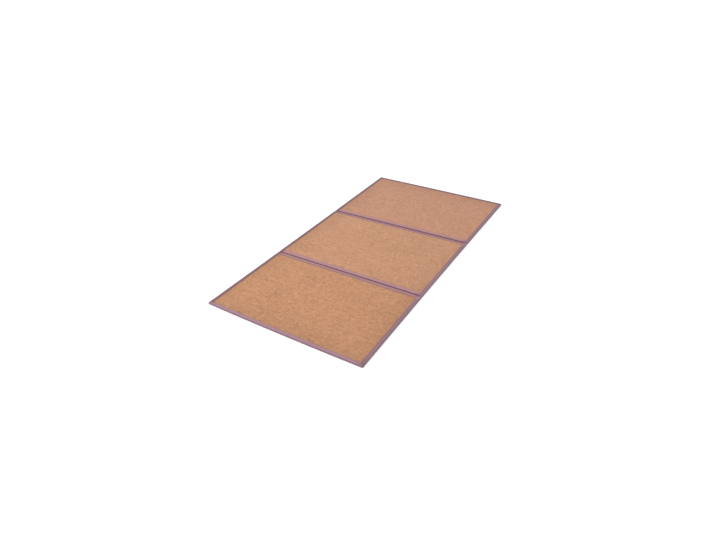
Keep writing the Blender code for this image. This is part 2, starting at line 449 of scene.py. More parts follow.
def unfolded_width(fold):
    """Width of a fold's top ribbon, measured down into the furrow and up again."""
    y = np.linspace(fold.crease - fold.front_reach, fold.crease + fold.back_reach, 400)
    z = ribbon_top(np.zeros_like(y), y)
    return float(np.hypot(np.diff(y), np.diff(z)).sum())


def ribbon_underside(x, y):
    """Lower face of a fold's top ribbon."""
    slope = furrow_depth(x, y) * np.cos(furrow_share(y) * math.pi / 2)
    slope *= math.pi / (2 * fold_values(y, "half_furrow"))
    return ribbon_top(x, y) - CLOTH * np.hypot(1.0, slope)


def edge_height(x, y):
    """Height up to which the rush's edge is cut back inside the tape."""
    inset = np.minimum(HALF_WIDTH - np.abs(x), HALF_LENGTH - np.abs(y))
    return EDGE_ROUND - (inset - LAYER)


def rush_top(x, y):
    """Upper face of the rush: level in the field, lower under the cloth."""
    tape = np.maximum(side_cover(x), end_cover(y))
    ribbon = ribbon_cover(y)
    squeezed = UNDER_CLOTH * np.maximum(tape, ribbon) + LAYER * np.minimum(tape, ribbon)
    under_ribbon = ribbon_underside(x, y) - GAP
    height = np.where(ribbon >= 1.0, under_ribbon, RUSH_THICKNESS - squeezed)
    return np.minimum(height, CLOTH_TOP - edge_height(x, y))


def rush_underside(x, y):
    """Lower face of the rush: on the floor in the field, lifted over cloth."""
    tape = np.maximum(side_cover(x), end_cover(y))
    return np.maximum(LAYER * (tape + ribbon_cover(y)), edge_height(x, y))


def bare_rush(x, y):
    """1 where the rush is open to view, 0 under the cloth."""
    hidden = np.maximum(np.maximum(side_cover(x), end_cover(y)), ribbon_cover(y))
    return 1.0 - smooth((hidden - RIBS_PRESSED_FROM) / (1.0 - RIBS_PRESSED_FROM))


def edge_darkening(x, y):
    """How much darker the rush is beside the tapes, least at the back of the right side."""
    from_side = np.maximum(HALF_WIDTH - TAPE_WIDTH - np.abs(x), 0.0)
    from_end = np.maximum(HALF_LENGTH - TAPE_WIDTH - np.abs(y), 0.0)
    spared = np.where(x > 0, smooth((y + HALF_LENGTH / 2) / HALF_LENGTH), 0.0)
    beside_side = hump(from_side, EDGE_DARKENING_REACH) * (1.0 - spared)
    return EDGE_DARKENING * np.maximum(beside_side, hump(from_end, EDGE_DARKENING_REACH))


def tape_sink(y):
    """How far the upper face of a side tape sinks over a furrow."""
    return TAPE_SINK_SHARE * furrow_depth(np.zeros_like(y), y) * furrow_shape(y)


def bow(share):
    """1 at the middle of a side and 0 at its ends, for a share from -1 to 1."""
    return 1.0 - share * share


def to_outline(x, y, z):
    """Move points of the plain rectangle to the mat's own slightly uneven outline."""
    over_x = np.maximum(0.0, np.abs(x) - (HALF_WIDTH - CORNER_RADIUS))
    over_y = np.maximum(0.0, np.abs(y) - (HALF_LENGTH - CORNER_RADIUS))
    reach = np.maximum(np.hypot(over_x, over_y), NO_LENGTH)
    pull = np.where(np.minimum(over_x, over_y) > 0, 1.0 - np.maximum(over_x, over_y) / reach, 0.0)
    x = x - np.sign(x) * over_x * pull
    y = y - np.sign(y) * over_y * pull
    side_bow = np.where(x > 0, BOW_RIGHT, BOW_LEFT)
    end_bow = np.where(y > 0, BOW_BACK, BOW_FRONT)
    pinch = fold_values(y, "pinch") * furrow_shape(y)
    side_shift = (side_bow * bow(y / HALF_LENGTH) - pinch) * x / HALF_WIDTH
    end_weight = np.maximum(0.0, 1.0 - (HALF_LENGTH - np.abs(y)) / PANEL_LENGTH)
    end_shift = np.sign(y) * end_bow * bow(x / HALF_WIDTH) * end_weight
    slant_weight = np.maximum(0.0, 1.0 - np.abs(y - fold_values(y, "crease")) / SLANT_REACH)
    slant_shift = fold_values(y, "slant") * x * slant_weight
    return np.stack([x + side_shift, y + end_shift + slant_shift + FRONT_SHIFT, z], axis=-1)


def spread(start, end, longest_step):
    """Evenly spaced values from start to end, both included."""
    steps = max(1, math.ceil(abs(end - start) / longest_step - NO_LENGTH))
    return np.linspace(start, end, steps + 1)


def joined(*stretches):
    """One rising array of stations from several, each value once."""
    values = np.sort(np.concatenate([np.atleast_1d(stretch) for stretch in stretches]))
    return values[np.concatenate([[True], np.diff(values) > SAME_STATION])]


def add_object(name, data):
    """A new object in the scene."""
    made = bpy.data.objects.new(name, data)
    bpy.context.scene.collection.objects.link(made)
    return made


def bent_slab(name, across, along, place):
    """A closed slab, one cell thick, on two lists of stations, bent by place.

    place takes arrays of stations and of a flag for the outer face, and returns the
    points, the shade and the two coordinates of the weave map.
    """
    columns = len(across) - 1
    rows = len(along) - 1
    slab = bmesh.new()
    bmesh.ops.create_grid(slab, x_segments=columns, y_segments=rows, size=0.5)
    lifted = bmesh.ops.extrude_face_region(slab, geom=slab.faces[:])
    for element in lifted["geom"]:
        if isinstance(element, bmesh.types.BMVert):
            element.co.z = 1.0
    mesh = bpy.data.meshes.new(name)
    slab.to_mesh(mesh)
    slab.free()

    count = len(mesh.vertices)
    flat = np.empty(count * 3, dtype=np.float32)
    mesh.vertices.foreach_get("co", flat)
    flat = flat.reshape(count, 3)
    column = np.rint((flat[:, 0] + 0.5) * columns).astype(int)
    row = np.rint((flat[:, 1] + 0.5) * rows).astype(int)
    outer = flat[:, 2] > 0.5
    points, shade, weave = place(across[column], along[row], outer)
    mesh.vertices.foreach_set("co", points.astype(np.float32).ravel())

    shade_layer = mesh.attributes.new(SHADE, "FLOAT", "POINT")
    shade_layer.data.foreach_set("value", np.asarray(shade, dtype=np.float32))
    corners = np.empty(len(mesh.loops), dtype=np.int32)
    mesh.loops.foreach_get("vertex_index", corners)
    weave_layer = mesh.uv_layers.new(name=WEAVE_MAP)
    weave_layer.data.foreach_set("uv", weave[corners].astype(np.float32).ravel())

    facing = bmesh.new()
    facing.from_mesh(mesh)
    bmesh.ops.recalc_face_normals(facing, faces=facing.faces[:])
    facing.to_mesh(mesh)
    facing.free()
    mesh.shade_smooth()
    return add_object(name, mesh)


def node(tree, kind, inputs=None, **settings):
    """Add a node to a tree, set it up, and feed its inputs with values or sockets."""
    made = tree.nodes.new(kind)
    for name, value in settings.items():
        setattr(made, name, value)
    for key, value in (inputs or {}).items():
        if isinstance(value, bpy.types.NodeSocket):
            tree.links.new(value, made.inputs[key])
        else:
            made.inputs[key].default_value = value
    return made


def calc(tree, operation, first, second=0.0, third=0.0):
    """The output of a math node."""
    inputs = {0: first, 1: second, 2: third}
    return node(tree, "ShaderNodeMath", inputs, operation=operation).outputs[0]


def blend(tree, factor, first, second, mode="MIX"):
    """The output of a colour mix node."""
    inputs = {0: factor, 6: first, 7: second}
    return node(tree, "ShaderNodeMix", inputs, data_type="RGBA", blend_type=mode).outputs[2]


def toned(tree, colour, light):
    """A colour multiplied by how light it is."""
    grey = node(tree, "ShaderNodeCombineColor", {0: light, 1: light, 2: light}).outputs[0]
    return blend(tree, 1.0, colour, grey, "MULTIPLY")


def mapped(tree, value, low, high):
    """A value from 0 to 1 stretched to run from low to high."""
    inputs = {"Value": value, "To Min": low, "To Max": high}
    return node(tree, "ShaderNodeMapRange", inputs).outputs[0]


def new_tree(name, kind, inputs, outputs):
    """A node tree with named sockets, as (tree, input sockets, output node)."""
    tree = bpy.data.node_groups.new(name, kind)
    for way, sockets in (("INPUT", inputs), ("OUTPUT", outputs)):
        for socket_name, holds in sockets.items():
            tree.interface.new_socket(name=socket_name, in_out=way,
                                      socket_type=f"NodeSocket{holds}")
    return tree, tree.nodes.new("NodeGroupInput").outputs, tree.nodes.new("NodeGroupOutput")


def chance(tree, first, second):
    """A random value for each pair of whole numbers."""
    key = node(tree, "ShaderNodeCombineXYZ", {0: first, 1: second}).outputs[0]
    return node(tree, "ShaderNodeTexWhiteNoise", {"Vector": key},
                noise_dimensions="2D").outputs[0]


def noise(tree, place, waves, detail=2.0, roughness=0.5):
    """Smooth noise with so many waves a metre along each axis."""
    key = node(tree, "ShaderNodeVectorMath", {0: place, 1: waves}, operation="MULTIPLY").outputs[0]
    return node(tree, "ShaderNodeTexNoise", {"Vector": key, "Scale": 1.0, "Detail": detail,
                                             "Roughness": roughness}).outputs[0]


def half_turns(tree, value):
    """A sine that makes half a turn for each whole number."""
    return calc(tree, "SINE", calc(tree, "MULTIPLY", value, math.pi))


def stem_block(tree, stem, column, stems, shift):
    """A random value for each block of stems, set off from one column to the next."""
    parity = calc(tree, "FLOORED_MODULO", column, 2.0)
    shifted = calc(tree, "MULTIPLY_ADD", parity, shift, stem)
    return chance(tree, calc(tree, "FLOOR", calc(tree, "DIVIDE", shifted, stems)), column)


def rush_stems_group():
    """Rush stems packed side by side, set off by half a stem from rib to rib."""
    tree, given, end = new_tree(
        "Rush stems", "ShaderNodeTree",
        {"Position": "Vector", "Rib Pitch": "Float", "Stem Pitch": "Float", "Colour": "Color",
         "Variation": "Float"},
        {"Colour": "Color", "Height": "Float", "Roughness": "Float"})
    position = given["Position"]
    place = node(tree, "ShaderNodeSeparateXYZ", {0: position}).outputs
    drift = calc(tree, "SUBTRACT", noise(tree, position, DRIFT_WAVES, detail=1.0), 0.5)
    drift = calc(tree, "MULTIPLY", drift, STEM_DRIFT)
    across = calc(tree, "DIVIDE", place[0], given["Rib Pitch"])
    rib = calc(tree, "FLOOR", across)
    parity = calc(tree, "FLOORED_MODULO", rib, 2.0)
    down = calc(tree, "DIVIDE", calc(tree, "ADD", place[1], drift), given["Stem Pitch"])
    down = calc(tree, "MULTIPLY_ADD", parity, 0.5, down)
    stem = calc(tree, "FLOOR", down)
    rib_round = calc(tree, "POWER", half_turns(tree, calc(tree, "FRACT", across)), RIB_ROUNDNESS)
    stem_round = mapped(tree, half_turns(tree, calc(tree, "FRACT", down)), STEM_FOOT, 1.0)
    bump = calc(tree, "MULTIPLY", rib_round, stem_round)

    rib_pair = calc(tree, "FLOOR", calc(tree, "DIVIDE", rib, 2.0))
    parts = {"streak": noise(tree, position, STREAK_WAVES),
             "stem": chance(tree, stem, parity),
             "bunch": stem_block(tree, stem, rib_pair, stems=6.0, shift=3.0),
             "run": stem_block(tree, stem, rib, stems=5.0, shift=2.0),
             "patch": noise(tree, position, PATCH_WAVES, detail=3.0, roughness=0.65)}
    tone = -sum(GRAIN.values()) / 2
    for part, share in GRAIN.items():
        tone = calc(tree, "MULTIPLY_ADD", parts[part], share, tone)
    tone = calc(tree, "MULTIPLY_ADD", tone, given["Variation"], 1.0)
    # Painted shade in the hollows between stems and ribs, and a little painted light on their tops
    tone = calc(tree, "MULTIPLY", tone, mapped(tree, bump, *STEM_LIGHT))
    tree.links.new(toned(tree, given["Colour"], tone), end.inputs["Colour"])
    tree.links.new(bump, end.inputs["Height"])
    tree.links.new(mapped(tree, parts["stem"], *STEM_ROUGHNESS), end.inputs["Roughness"])
    return tree


def cloth_threads_group():
    """Plain woven cloth on a map in metres: threads over and under each other."""
    tree, given, end = new_tree(
        "Cloth threads", "ShaderNodeTree",
        {"Map": "Vector", "Thread Pitch": "Float", "Colour": "Color", "Variation": "Float"},
        {"Colour": "Color", "Height": "Float"})
    place = node(tree, "ShaderNodeSeparateXYZ", {0: given["Map"]}).outputs
    waves = [half_turns(tree, calc(tree, "DIVIDE", place[axis], given["Thread Pitch"]))
             for axis in (0, 1)]
    over = calc(tree, "MULTIPLY", waves[0], waves[1])
    lift = mapped(tree, calc(tree, "ABSOLUTE", over), 0.0, 1.0)
    tree.links.new(lift, end.inputs["Height"])
    slub = noise(tree, given["Map"], SLUB_WAVES)
    cross = noise(tree, given["Map"], CROSS_WAVES)
    tone = calc(tree, "SUBTRACT", calc(tree, "ADD", slub, cross), 1.0)
    tone = calc(tree, "MULTIPLY_ADD", tone, given["Variation"], 1.0)
    # Painted shade where threads dip under each other, and a little painted light on their tops
    tone = calc(tree, "MULTIPLY", tone, mapped(tree, lift, *THREAD_LIGHT))
    tree.links.new(toned(tree, given["Colour"], tone), end.inputs["Colour"])
    return tree


def fading_group():
    """Slow fading of a colour toward a tint, in broad and in fine patches."""
    tree, given, end = new_tree(
        "Fading", "ShaderNodeTree",
        {"Position": "Vector", "Colour": "Color", "Tint": "Color", "Amount": "Float"},
        {"Colour": "Color"})
    mixed = 0.0
    for waves, detail, share in FADING_PATCHES:
        patches = noise(tree, given["Position"], (waves, waves, waves), detail)
        mixed = calc(tree, "MULTIPLY_ADD", patches, share, mixed)
    mask = node(tree, "ShaderNodeMapRange",
                {"Value": mixed, "From Min": 0.35, "From Max": 0.65}).outputs[0]
    amount = calc(tree, "MULTIPLY", mask, given["Amount"])
    tree.links.new(blend(tree, amount, given["Colour"], given["Tint"]), end.inputs["Colour"])
    return tree


def use_group(tree, name, inputs):
    """Place a shared shader group in a tree and return its outputs."""
    shared = bpy.data.node_groups[name]
    return node(tree, "ShaderNodeGroup", inputs, node_tree=shared).outputs


def opaque(colour):
    """A colour with full alpha."""
    return (*colour, 1.0)


def new_material(name, roughness, sheen, specular):
    """A material with a Principled shader, as (material, tree, shader)."""
    material = bpy.data.materials.new(name)
    material.use_nodes = True
    tree = material.node_tree
    shader = tree.nodes["Principled BSDF"]
    shader.inputs["Roughness"].default_value = roughness
    shader.inputs["Metallic"].default_value = 0.0
    shader.inputs["Sheen Weight"].default_value = sheen
    shader.inputs["Specular IOR Level"].default_value = specular
    return material, tree, shader


def raise_bump(tree, shader, height, distance, strength):
    """Tilt a shader's surface by a height map."""
    bump = node(tree, "ShaderNodeBump",
                {"Height": height, "Distance": distance, "Strength": strength})
    tree.links.new(bump.outputs[0], shader.inputs["Normal"])


def faded(tree, place, colour, base, gains, amount):
    """A socket's colour fading in patches toward a base colour with each channel gained."""
    tint = tuple(min(1.0, channel * gain) for channel, gain in zip(base, gains))
    return use_group(tree, "Fading", {"Position": place, "Colour": colour, "Tint": opaque(tint),
                                      "Amount": amount})["Colour"]


def rush_material(name, colour):
    """Woven rush: stems, ribs, streaks and slow fading."""
    sizes = bpy.context.scene.mat_sizes
    material, tree, shader = new_material(name, roughness=0.55, sheen=0.0, specular=0.25)
    place = tree.nodes.new("ShaderNodeTexCoord").outputs["Object"]
    stems = use_group(tree, "Rush stems", {
        "Position": place, "Rib Pitch": sizes.rib_pitch, "Stem Pitch": sizes.stem_pitch,
        "Colour": opaque(colour), "Variation": 0.42})
    sunned = faded(tree, place, stems["Colour"], colour, gains=(1.04, 1.06, 1.14), amount=0.35)
    shade = node(tree, "ShaderNodeAttribute", attribute_name=SHADE).outputs["Fac"]
    light = calc(tree, "SUBTRACT", 1.0, shade)
    tree.links.new(toned(tree, sunned, light), shader.inputs["Base Color"])
    tree.links.new(stems["Roughness"], shader.inputs["Roughness"])
    raise_bump(tree, shader, stems["Height"], distance=0.0004, strength=0.8)
    return material


def cloth_material(name, colour, shade_colour):
    """Plain woven cotton: threads, slubs, painted shade in creases and rolled edges, and a
    painted highlight where the shade is below zero.
    """
    sizes = bpy.context.scene.mat_sizes
    material, tree, shader = new_material(name, roughness=0.86, sheen=0.12, specular=0.2)
    weave = node(tree, "ShaderNodeUVMap", uv_map=WEAVE_MAP).outputs[0]
    place = tree.nodes.new("ShaderNodeTexCoord").outputs["Object"]
    threads = use_group(tree, "Cloth threads", {
        "Map": weave, "Thread Pitch": sizes.thread_pitch, "Colour": opaque(colour),
        "Variation": 0.5})
    worn = faded(tree, place, threads["Colour"], colour, gains=(1.10, 1.10, 1.10), amount=0.4)
    shade = node(tree, "ShaderNodeAttribute", attribute_name=SHADE).outputs["Fac"]
    # A shade below zero lightens the colour as a painted highlight; above zero it mixes in the
    # painted shade colour
    light = calc(tree, "SUBTRACT", 1.0, calc(tree, "MINIMUM", shade, 0.0))
    shaded = blend(tree, calc(tree, "MAXIMUM", shade, 0.0), toned(tree, worn, light),
                   opaque(shade_colour))
    tree.links.new(shaded, shader.inputs["Base Color"])
    raise_bump(tree, shader, threads["Height"], distance=0.00015, strength=0.7)
    return material


def thread_material(name, colour):
    """Twisted sewing thread, with painted shade between its strands."""
    material, tree, shader = new_material(name, roughness=0.6, sheen=0.1, specular=0.3)
    place = tree.nodes.new("ShaderNodeTexCoord").outputs["Object"]
    twist = node(tree, "ShaderNodeTexWave",
                 {"Vector": place, "Scale": 900.0, "Distortion": 1.5}).outputs[1]
    # Painted shade in the grooves between the strands
    dark = tuple(channel * BETWEEN_STRANDS for channel in colour)
    twisted = blend(tree, twist, opaque(dark), opaque(colour))
    tree.links.new(twisted, shader.inputs["Base Color"])
    return material


def finish_tree(tree, geometry, material, end):
    """End a geometry tree: realize its instances, set the material, put the mesh out."""
    realized = node(tree, "GeometryNodeRealizeInstances", {0: geometry})
    finished = node(tree, "GeometryNodeSetMaterial",
                    {"Geometry": realized.outputs[0], "Material": material})
    tree.links.new(finished.outputs[0], end.inputs[0])
    return tree


def rush_rib_tree():
    """Geometry nodes that raise lengthwise ribs and a slow unevenness on a rush panel."""
    tree, given, end = new_tree(
        "Rush ribs", "GeometryNodeTree",
        {"Geometry": "Geometry", "Rib Pitch": "Float", "Rib Height": "Float",
         "Unevenness": "Float", "Seed": "Float", "Material": "Material"},
        {"Geometry": "Geometry"})
    position = tree.nodes.new("GeometryNodeInputPosition").outputs[0]
    place = node(tree, "ShaderNodeSeparateXYZ", {0: position}).outputs
    facing, bare = (node(tree, "GeometryNodeInputNamedAttribute", {"Name": name},
                         data_type="FLOAT").outputs[0] for name in ("facing", "bare"))
    swell = half_turns(tree, calc(tree, "DIVIDE", place[0], given["Rib Pitch"]))
    rib = calc(tree, "POWER", calc(tree, "ABSOLUTE", swell), RAISED_RIB_ROUNDNESS)
    rib = calc(tree, "MULTIPLY", calc(tree, "SUBTRACT", rib, 1.0), given["Rib Height"])
    slow = node(tree, "ShaderNodeTexNoise",
                {"Vector": position, "W": given["Seed"], "Scale": 7.0, "Detail": 1.0},
                noise_dimensions="4D").outputs[0]
    rise = calc(tree, "MULTIPLY", calc(tree, "SUBTRACT", slow, 0.5), given["Unevenness"])
    rise = calc(tree, "MULTIPLY", rise, calc(tree, "MAXIMUM", facing, 0.0))
    lift = calc(tree, "MULTIPLY_ADD", rib, facing, rise)
    offset = node(tree, "ShaderNodeCombineXYZ", {2: calc(tree, "MULTIPLY", lift, bare)}).outputs[0]
    raised = node(tree, "GeometryNodeSetPosition", {"Geometry": given["Geometry"], "Offset": offset})
    return finish_tree(tree, raised.outputs[0], given["Material"], end)


def stitch_tree():
    """Geometry nodes that lay one small stitch after another along a line."""
    tree, given, end = new_tree(
        "Stitches", "GeometryNodeTree",
        {"Geometry": "Geometry", "Stitch Pitch": "Float", "Stitch Width": "Float",
         "Seed": "Int", "Material": "Material"},
        {"Geometry": "Geometry"})
    points = node(tree, "GeometryNodeCurveToPoints",
                  {"Curve": given["Geometry"], "Length": given["Stitch Pitch"]}, mode="LENGTH")
    grain = node(tree, "GeometryNodeMeshUVSphere", {"Segments": 6, "Rings": 4, "Radius": 0.5})
    grain = node(tree, "GeometryNodeSetShadeSmooth", {"Geometry": grain.outputs["Mesh"]})
    uneven = node(tree, "FunctionNodeRandomValue",
                  {2: SHORTEST_STITCH, 3: LONGEST_STITCH, "Seed": given["Seed"]},
                  data_type="FLOAT").outputs[1]
    long_way = calc(tree, "MULTIPLY", given["Stitch Pitch"], STITCH_SHARE)
    long_way = calc(tree, "MULTIPLY", long_way, uneven)
    size = node(tree, "ShaderNodeCombineXYZ",
                {0: given["Stitch Width"], 1: given["Stitch Width"], 2: long_way}).outputs[0]
    turned = node(tree, "FunctionNodeAlignRotationToVector",
                  {"Vector": points.outputs["Tangent"]}, axis="Z")
    placed = node(tree, "GeometryNodeInstanceOnPoints",
                  {"Points": points.outputs["Points"], "Instance": grain.outputs[0],
                   "Rotation": turned.outputs[0], "Scale": size})
    return finish_tree(tree, placed.outputs[0], given["Material"], end)


def grown_mesh(source, tree, values):
    """Run a geometry tree on an object with named input values and return a plain mesh."""
    modifier = source.modifiers.new(tree.name, "NODES")
    modifier.node_group = tree
    for item in tree.interface.items_tree:
        if item.item_type == "SOCKET" and item.in_out == "INPUT" and item.name in values:
            modifier[item.identifier] = values[item.name]
    graph = bpy.context.evaluated_depsgraph_get()
    mesh = bpy.data.meshes.new_from_object(source.evaluated_get(graph))
    source.modifiers.clear()
    return mesh


def stations_at_outer_end(toward):
    """Stations of a panel's end at the front, toward -1, or at the back, toward +1."""
    insets = np.array([LAYER, EDGE_ROUND, CORNER_RADIUS, TAPE_WIDTH + GAP])
    near_cloth = spread(TAPE_WIDTH + 2 * GAP, TAPE_WIDTH + SQUEEZE_RAMP, SQUEEZE_STEP)
    return toward * (HALF_LENGTH - joined(insets, near_cloth))


def stations_beside_fold(fold, toward):
    """Stations of a panel's end at a fold, which lies toward -1 or +1 of the panel."""
    reach = fold.back_reach if toward < 0 else fold.front_reach
    furrow = fold.half_furrow * np.array(FURROW_SHOULDER)
    near_cloth = spread(reach + GAP, reach + SQUEEZE_RAMP, SQUEEZE_STEP)
    return fold.crease - toward * joined(furrow, near_cloth)


def make_rush_panel(name, cad_node, front_end, back_end, colour, seed):
    """One rush panel with its ribs raised."""
    sizes = bpy.context.scene.mat_sizes
    edge = HALF_WIDTH - LAYER
    step = sizes.rib_pitch / STEPS_IN_A_RIB
    field = np.arange(-math.floor(edge / step), math.floor(edge / step) + 1) * step
    across = joined(field, [-edge, edge])
    between = spread(max(front_end), min(back_end), RUSH_STEP)
    along = joined(front_end, between, back_end)
    kept = {}

    def place(x, y, outer):
        z = np.where(outer, rush_top(x, y), rush_underside(x, y))
        kept["facing"] = np.where(outer, 1.0, -1.0)
        kept["bare"] = bare_rush(x, y)
        points = to_outline(x, y, z)
        return points, edge_darkening(x, y), points[:, :2]

    panel = bent_slab(name, across, along, place)
    for attribute, values in kept.items():
        layer = panel.data.attributes.new(attribute, "FLOAT", "POINT")
        layer.data.foreach_set("value", values.astype(np.float32))
    panel.data = grown_mesh(panel, bpy.data.node_groups["Rush ribs"], {
        "Rib Pitch": sizes.rib_pitch, "Rib Height": sizes.rib_height,
        "Unevenness": sizes.unevenness, "Seed": float(seed),
        "Material": rush_material(name, colour)})
    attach(panel, BODY)
    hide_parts(cad_node)
    return panel


def dress(piece, material):
    """Give a piece its only material."""
    piece.data.materials.clear()
    piece.data.materials.append(material)


def make_top_ribbon(fold, material, seed):
    """The ribbon over a fold: hemmed edges, stitch grooves, and creases in the furrow."""
    sizes = bpy.context.scene.mat_sizes
    furrow = fold.half_furrow * joined(FURROW_FLOOR, spread(*FURROW_WALL))
    front = fold.crease - joined(furrow, fold.front_reach - np.array(RIBBON_HEM))
    back = fold.crease + joined(furrow, fold.back_reach - np.array(RIBBON_HEM))
    edge = HALF_WIDTH - EDGE_ROUND

    def place(x, y, outer):
        offset = y - fold.crease
        from_hem = from_ribbon_hem(fold, offset)
        from_seam = from_hem - sizes.stitch_inset
        from_tape = HALF_WIDTH - TAPE_WIDTH - np.abs(x)
        open_view = 1.0 - side_cover(x)
        shape = furrow_shape(y)

        gather = sizes.pucker * wander(x, RIBBON_GATHER.length, seed)
        gather = gather * hump(from_seam, RIBBON_GATHER.reach)
        crumple = wave(RIBBON_CRUMPLE, x + 2 * offset, seed) * np.sqrt(shape) * (1 - shape)
        lift = open_view * (gather + crumple - band(GROOVE, from_seam))
        hem = rim(RIBBON_HEM_ROUND, from_hem)
        z = np.where(outer, ribbon_top(x, y) + lift - hem,
                     ribbon_underside(x, y) + lift * UNDERSIDE_SHARE + hem)
        sway = wave(RIBBON_SWAY, x, seed) * np.minimum(1.0, from_hem / HEM_CALM)
        edge_sway = wave(RIBBON_HEM_SWAY, x, seed) * np.exp(-from_hem / RIBBON_HEM_SWAY_REACH)
        y = y + open_view * (sway * shape + np.sign(offset) * edge_sway)

        # Painted shade in the crease, along the seam and the hem, over the front half, and beside
        # the crease, most near the tapes
        shade = np.maximum.reduce([
            np.clip(CREASE_SHADE * shape ** CREASE_SOFTNESS, 0.0, 1.0),
            band(RIBBON_SEAM_SHADE, from_seam), rim(RIBBON_HEM_SHADE, from_hem),
            np.where(offset < 0, FRONT_HALF_SHADE, 0.0) * open_view])
        beside_crease = BESIDE_CREASE_SHADE.strength + band(AT_TAPE_SHADE, from_tape)
        beside_crease = beside_crease * hump(offset, BESIDE_CREASE_SHADE.width)
        shade = 1.0 - (1.0 - shade) * (1.0 - beside_crease)
        return to_outline(x, y, z), shade, np.stack([x, offset], axis=-1)

    ribbon = bent_slab(f"ribbon_{fold.name}_top", spread(-edge, edge, RIBBON_STEP),
                       joined(front, back), place)
    dress(ribbon, material)
    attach(ribbon, BODY)
    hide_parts(f"fold_ribbon_{fold.name}_top")
    return ribbon


def make_under_ribbon(fold, material):
    """The flat ribbon under a fold, with rounded hems."""
    front = fold.crease - fold.front_reach + np.array(UNDER_HEM)
    back = fold.crease + fold.back_reach - np.array(UNDER_HEM)
    crease = fold.crease + np.array([0.0, BESIDE_CREASE])
    edge = HALF_WIDTH - EDGE_ROUND
    across = joined(spread(-edge, edge, UNDER_STEP), [BESIDE_END - edge, edge - BESIDE_END])

    def place(x, y, outer):
        offset = y - fold.crease
        from_hem = from_ribbon_hem(fold, offset)
        base = LAYER * side_cover(x)
        hem = rim(UNDER_HEM_ROUND, from_hem)
        z = np.where(outer, base + CLOTH - hem, base + hem * (base > 0))
        # Painted shade along the crease
        shade = band(UNDER_CREASE_SHADE, offset)
        return to_outline(x, y, z), shade, np.stack([x, offset], axis=-1)

    ribbon = bent_slab(f"ribbon_{fold.name}_under", across, joined(front, crease, back), place)
    dress(ribbon, material)
    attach(ribbon, BODY)
    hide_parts(f"fold_ribbon_{fold.name}_under")
    return ribbon


class TapeSection:
    """The section of a tape folded round the edge, as arrays along the cloth's width."""

    def __init__(self):
        flange = joined(TAPE_WIDTH - np.array(TAPE_HEM),
                        spread(EDGE_ROUND, TAPE_WIDTH - TAPE_HEM[-1], FLANGE_STEP))[::-1]
        arcs = []
        for centre, first in ((CLOTH_TOP - EDGE_ROUND, 90), (EDGE_ROUND, 180)):
            angles = np.radians(first + np.linspace(0, 90, ROLL_POINTS))
            arcs.append((EDGE_ROUND * (1 + np.cos(angles)), centre + EDGE_ROUND * np.sin(angles),
                         -np.cos(angles), -np.sin(angles)))
        level, zero = np.full(len(flange) - 1, CLOTH_TOP), np.zeros(len(flange) - 1)
        self.inset = np.concatenate([flange[:-1], arcs[0][0], arcs[1][0], flange[:-1][::-1]])
        self.height = np.concatenate([level, arcs[0][1], arcs[1][1], zero])
        self.inward = np.concatenate([zero, arcs[0][2], arcs[1][2], zero])
        self.upward = np.concatenate([zero - 1, arcs[0][3], arcs[1][3], zero + 1])
        self.upper = self.height > CLOTH_TOP / 2
        steps = np.hypot(np.diff(self.inset), np.diff(self.height))
        self.width = np.concatenate([[0.0], np.cumsum(steps)])
        self.from_hem = TAPE_WIDTH - self.inset

    def face(self, index, outer):
        """Inset and height of the points on the outer or inner face of the plain tape."""
        hem = rim(TAPE_HEM_ROUND, self.from_hem[index])
        depth = np.where(outer, hem, CLOTH - hem)
        return (self.inset[index] + depth * self.inward[index],
                self.height[index] + depth * self.upward[index])


def mitred(station, half_side, inset):
    """Shorten the last stretch of a tape so that it ends on the corner's mitre."""
    start = half_side - TAPE_WIDTH - SQUEEZE_RAMP
    beyond = np.maximum(0.0, np.abs(station) - start)
    room = half_side - inset - MITRE_GAP - start
    ended = np.sign(station) * (start + beyond * room / (half_side - start))
    return np.where(beyond > 0, ended, station)


def tape_stations(half_side, extra=()):
    """Stations along one side of the mat, close together at the rounded corners."""
    start = half_side - TAPE_WIDTH - SQUEEZE_RAMP
    end = joined(spread(start, half_side - CORNER_RADIUS, TAPE_END_STEP),
                 spread(half_side - CORNER_RADIUS, half_side, CORNER_STEP))
    return joined(-end, end, spread(-start, start, TAPE_STEP), extra)


def furrow_stations(reach, count):
    """Stations across both furrows, out to reach half widths of each."""
    return joined(*(fold.crease + fold.half_furrow * np.linspace(-reach, reach, count)
                    for fold in FOLDS))


def along_edge(is_long, side, station, inset, height):
    """Points beside one edge of the mat, bowed like its outline."""
    if is_long:
        return to_outline(side * (HALF_WIDTH - inset), station, height)
    return to_outline(station, side * (HALF_LENGTH - inset), height)


